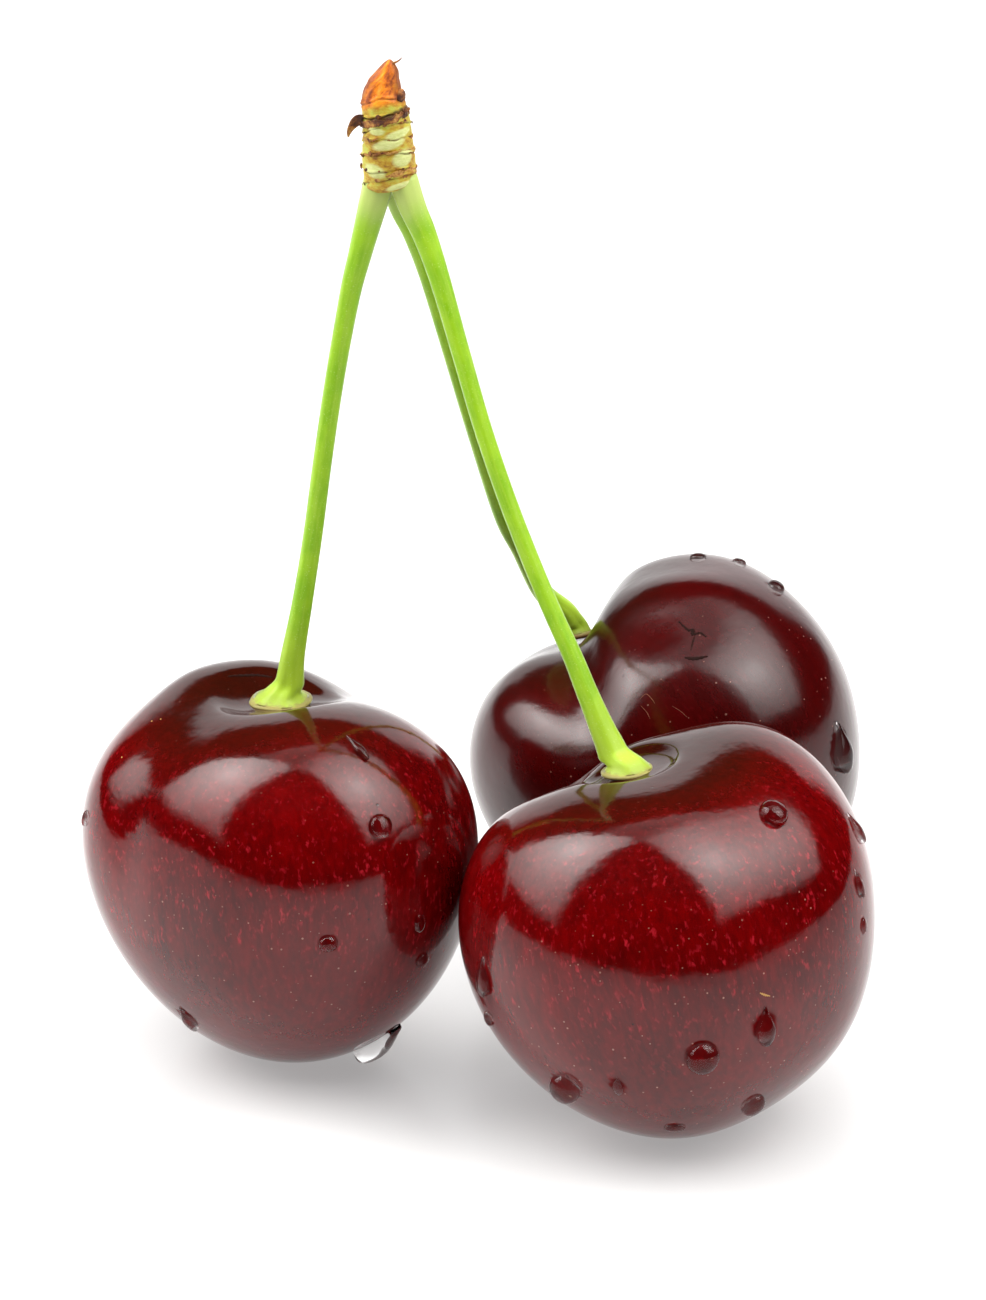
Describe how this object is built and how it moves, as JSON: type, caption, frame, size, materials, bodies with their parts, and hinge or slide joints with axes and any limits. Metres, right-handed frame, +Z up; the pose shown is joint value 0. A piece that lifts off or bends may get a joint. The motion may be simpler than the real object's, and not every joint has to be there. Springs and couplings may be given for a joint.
{
  "type": "cherry bunch",
  "caption": "Bunch of dark sweet cherries on thin green stalks that join at a short woody spur with dry bud scales, standing on its fruits.",
  "frame": {"origin": "on the resting surface, under the middle of the bunch's bounding box", "axes": "+Z up, from the resting surface to the spur; +X to the right and +Y to the back as the bunch is normally seen, with one fruit at the left, one at the front right and one at the back right"},
  "size_m": [0.0516, 0.055, 0.0673],
  "materials": {
    "cherry_skin": "glossy dark red fruit skin with fine pale flecks and lighter streaks",
    "stalk_green": "fresh yellow-green plant stalk, softly shiny",
    "spur_bark": "young ringed bark, yellow-green to orange, torn at the tip",
    "dry_scale": "thin, dry, brown bud scale",
    "water": "clear water droplets on the skin, in the visual model only"
  },
  "bodies": {
    "root": {"cherry_left": "cherry_skin", "cherry_front": "cherry_skin", "cherry_back": "cherry_skin", "stalk_left": "stalk_green", "stalk_front": "stalk_green", "stalk_back": "stalk_green", "spur": "spur_bark", "bud_scale_curled": "dry_scale", "bud_scale_mid": "dry_scale", "bud_scale_low": "dry_scale", "side_bud": "dry_scale"}
  },
  "joints": []
}
